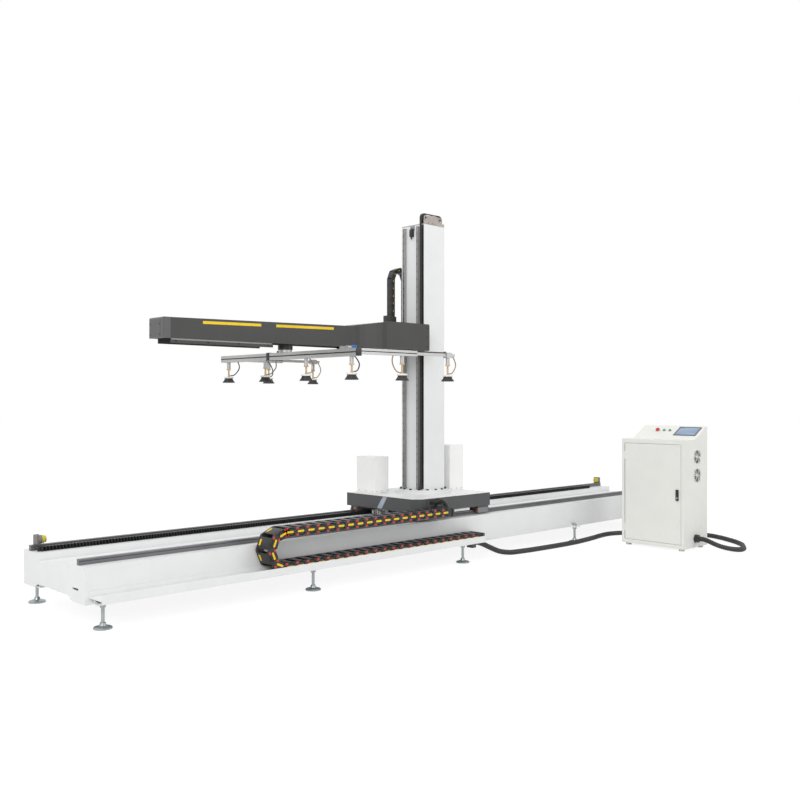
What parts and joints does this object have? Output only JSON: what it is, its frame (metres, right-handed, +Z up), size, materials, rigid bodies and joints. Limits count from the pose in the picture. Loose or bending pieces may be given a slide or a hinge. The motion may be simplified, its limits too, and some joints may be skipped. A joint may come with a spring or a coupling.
{
  "type": "gantry robot",
  "caption": "Column robot on a floor track with a lifting cantilever arm, a vacuum-cup gripper frame, energy chains and a control cabinet joined by a floor conduit.",
  "frame": {"origin": "on the floor, in the middle of the footprint of everything but the conduit", "axes": "+X along the bed towards the cabinet end, +Y to the rear of the bed, away from the cabinet, +Z up"},
  "size_m": [7.22, 3.0474, 3.27],
  "materials": {
    "white_paint": "satin powder coat",
    "bright_steel": "ground steel",
    "dark_steel": "blackened steel",
    "dark_paint": "satin dark grey paint",
    "grey_paint": "satin grey paint",
    "block_steel": "satin steel",
    "cast_black": "black anodised",
    "profile_aluminium": "satin anodised",
    "chain_plastic": "moulded black",
    "conduit_plastic": "corrugated black",
    "yellow_rubber": "moulded",
    "black_rubber": "moulded",
    "cabinet_paint": "satin powder coat",
    "latch_plastic": "moulded",
    "screen_plastic": "glossy",
    "red_plastic": "glossy",
    "green_plastic": "glossy"
  },
  "bodies": {
    "bed": {"bed_frame": "white_paint", "levelling_feet": "bright_steel", "travel_rails": "bright_steel", "travel_rack": "dark_steel", "bumper_brackets": "bright_steel", "bumper_rubbers": "yellow_rubber", "chain_tray": "white_paint", "chain_anchor": "dark_paint", "travel_chain_lower": "chain_plastic", "cabinet_shell": "cabinet_paint", "touch_screen": "screen_plastic", "conduit": "conduit_plastic"},
    "travel_bend_lower": {"travel_chain_bend_lower": "chain_plastic"},
    "travel_bend_upper": {"travel_chain_bend_upper": "chain_plastic"},
    "pinion": {"travel_pinion": "bright_steel"},
    "carriage": {"carriage_base": "dark_paint", "travel_guide_blocks": "block_steel", "travel_gearmotor": "grey_paint", "travel_drive_cover": "white_paint", "swing_drive_cover": "white_paint", "slewing_ring": "dark_steel", "chain_bracket": "dark_paint", "travel_chain_upper": "chain_plastic"},
    "column": {"column_tube": "white_paint", "column_flange": "bright_steel", "lift_rails": "bright_steel", "lift_belt": "black_rubber", "pulley_bracket": "profile_aluminium", "belt_foot": "dark_steel", "lift_chain_inner": "chain_plastic"},
    "front_pulley": {"front_pulley": "profile_aluminium"},
    "rear_pulley": {"rear_pulley": "profile_aluminium"},
    "lift": {"lift_plate": "dark_paint", "lift_guide_blocks": "block_steel", "head_cover": "dark_paint", "arm_cover": "dark_paint", "arm_end_cap": "grey_paint", "arm_beam": "grey_paint", "trolley_rails": "bright_steel", "lift_chain_outer": "chain_plastic"},
    "lift_bend_inner": {"lift_chain_bend_inner": "chain_plastic"},
    "lift_bend_outer": {"lift_chain_bend_outer": "chain_plastic"},
    "trolley": {"trolley": "cast_black"},
    "gripper": {"gripper_frame": "profile_aluminium", "vacuum_valve": "profile_aluminium"},
    "cup_1": {"cup_1": "black_rubber"},
    "cup_2": {"cup_2": "black_rubber"},
    "cup_3": {"cup_3": "black_rubber"},
    "cup_4": {"cup_4": "black_rubber"},
    "cup_5": {"cup_5": "black_rubber"},
    "cup_6": {"cup_6": "black_rubber"},
    "cup_7": {"cup_7": "black_rubber"},
    "cup_8": {"cup_8": "black_rubber"},
    "door": {"cabinet_door": "cabinet_paint"},
    "latch": {"door_latch": "latch_plastic"},
    "emergency_stop": {"emergency_stop": "red_plastic"},
    "start_button": {"start_button": "green_plastic"},
    "stop_button": {"stop_button": "green_plastic"},
    "upper_fan": {"upper_fan": "latch_plastic"},
    "lower_fan": {"lower_fan": "latch_plastic"}
  },
  "joints": [
    {"name": "x_travel", "type": "slide", "parent": "bed", "child": "carriage", "axis": [1, 0, 0], "range_m": [-2.4, 2.6], "deforming": ["travel_chain_lower", "travel_chain_upper"]},
    {"name": "travel_bend_lower_slide", "type": "slide", "parent": "bed", "child": "travel_bend_lower", "axis": [1, 0, 0], "range_m": [-1.2, 1.3]},
    {"name": "travel_bend_upper_slide", "type": "slide", "parent": "carriage", "child": "travel_bend_upper", "axis": [1, 0, 0], "range_m": [-1.3, 1.2]},
    {"name": "pinion_spin", "type": "hinge", "parent": "carriage", "child": "pinion", "pos_m": [-0.325, 0.60075, 0.428], "axis": [0, 0, 1], "continuous": true},
    {"name": "column_swing", "type": "hinge", "parent": "carriage", "child": "column", "pos_m": [0.02, 0.36375, 0.632], "axis": [0, 0, -1], "range_deg": [-90, 90]},
    {"name": "z_lift", "type": "slide", "parent": "column", "child": "lift", "axis": [0, 0, 1], "range_m": [-0.9, 0.8], "deforming": ["lift_chain_inner", "lift_chain_outer"]},
    {"name": "lift_bend_inner_slide", "type": "slide", "parent": "column", "child": "lift_bend_inner", "axis": [0, 0, 1], "range_m": [-0.45, 0.4]},
    {"name": "lift_bend_outer_slide", "type": "slide", "parent": "lift", "child": "lift_bend_outer", "axis": [0, 0, 1], "range_m": [-0.4, 0.45]},
    {"name": "front_pulley_spin", "type": "hinge", "parent": "column", "child": "front_pulley", "pos_m": [-0.098, 0.23775, 3.227], "axis": [0, 1, 0], "continuous": true},
    {"name": "rear_pulley_spin", "type": "hinge", "parent": "column", "child": "rear_pulley", "pos_m": [0.098, 0.23775, 3.227], "axis": [0, 1, 0], "continuous": true},
    {"name": "gripper_slide", "type": "slide", "parent": "lift", "child": "trolley", "axis": [-1, 0, 0], "range_m": [0, 1]},
    {"name": "gripper_turn", "type": "hinge", "parent": "trolley", "child": "gripper", "pos_m": [-1.625, 0.36375, 1.921], "axis": [0, 0, 1], "range_deg": [-90, 90]},
    {"name": "cup_1_spring", "type": "slide", "parent": "gripper", "child": "cup_1", "axis": [0, 0, 1], "range_m": [0, 0.03], "stiffness_N_per_m": 300, "springref_m": -0.01},
    {"name": "cup_2_spring", "type": "slide", "parent": "gripper", "child": "cup_2", "axis": [0, 0, 1], "range_m": [0, 0.03], "stiffness_N_per_m": 300, "springref_m": -0.01},
    {"name": "cup_3_spring", "type": "slide", "parent": "gripper", "child": "cup_3", "axis": [0, 0, 1], "range_m": [0, 0.03], "stiffness_N_per_m": 300, "springref_m": -0.01},
    {"name": "cup_4_spring", "type": "slide", "parent": "gripper", "child": "cup_4", "axis": [0, 0, 1], "range_m": [0, 0.03], "stiffness_N_per_m": 300, "springref_m": -0.01},
    {"name": "cup_5_spring", "type": "slide", "parent": "gripper", "child": "cup_5", "axis": [0, 0, 1], "range_m": [0, 0.03], "stiffness_N_per_m": 300, "springref_m": -0.01},
    {"name": "cup_6_spring", "type": "slide", "parent": "gripper", "child": "cup_6", "axis": [0, 0, 1], "range_m": [0, 0.03], "stiffness_N_per_m": 300, "springref_m": -0.01},
    {"name": "cup_7_spring", "type": "slide", "parent": "gripper", "child": "cup_7", "axis": [0, 0, 1], "range_m": [0, 0.03], "stiffness_N_per_m": 300, "springref_m": -0.01},
    {"name": "cup_8_spring", "type": "slide", "parent": "gripper", "child": "cup_8", "axis": [0, 0, 1], "range_m": [0, 0.03], "stiffness_N_per_m": 300, "springref_m": -0.01},
    {"name": "door_hinge", "type": "hinge", "parent": "bed", "child": "door", "pos_m": [1.999, -0.64025, 0.556], "axis": [0, 0, -1], "range_deg": [0, 100]},
    {"name": "latch_turn", "type": "hinge", "parent": "door", "child": "latch", "pos_m": [1.99, -1.23025, 0.556], "axis": [1, 0, 0], "range_deg": [0, 90]},
    {"name": "emergency_stop_press", "type": "slide", "parent": "bed", "child": "emergency_stop", "axis": [0.4789, 0, -0.8779], "range_m": [0, 0.006], "stiffness_N_per_m": 600, "springref_m": -0.002},
    {"name": "start_press", "type": "slide", "parent": "bed", "child": "start_button", "axis": [0.4789, 0, -0.8779], "range_m": [0, 0.006], "stiffness_N_per_m": 400, "springref_m": -0.002},
    {"name": "stop_press", "type": "slide", "parent": "bed", "child": "stop_button", "axis": [0.4789, 0, -0.8779], "range_m": [0, 0.006], "stiffness_N_per_m": 400, "springref_m": -0.002},
    {"name": "upper_fan_spin", "type": "hinge", "parent": "bed", "child": "upper_fan", "pos_m": [2.256, -1.28025, 0.928], "axis": [0, 1, 0], "continuous": true},
    {"name": "lower_fan_spin", "type": "hinge", "parent": "bed", "child": "lower_fan", "pos_m": [2.256, -1.28025, 0.742], "axis": [0, 1, 0], "continuous": true}
  ],
  "couplings": [
    {"joint": "travel_bend_lower_slide", "follows": "x_travel", "ratio": 0.5},
    {"joint": "travel_bend_upper_slide", "follows": "x_travel", "ratio": -0.5},
    {"joint": "pinion_spin", "follows": "x_travel", "rad_per_m": 13.889},
    {"joint": "lift_bend_inner_slide", "follows": "z_lift", "ratio": 0.5},
    {"joint": "lift_bend_outer_slide", "follows": "z_lift", "ratio": -0.5},
    {"joint": "front_pulley_spin", "follows": "z_lift", "rad_per_m": 24.57},
    {"joint": "rear_pulley_spin", "follows": "z_lift", "rad_per_m": 24.57}
  ]
}
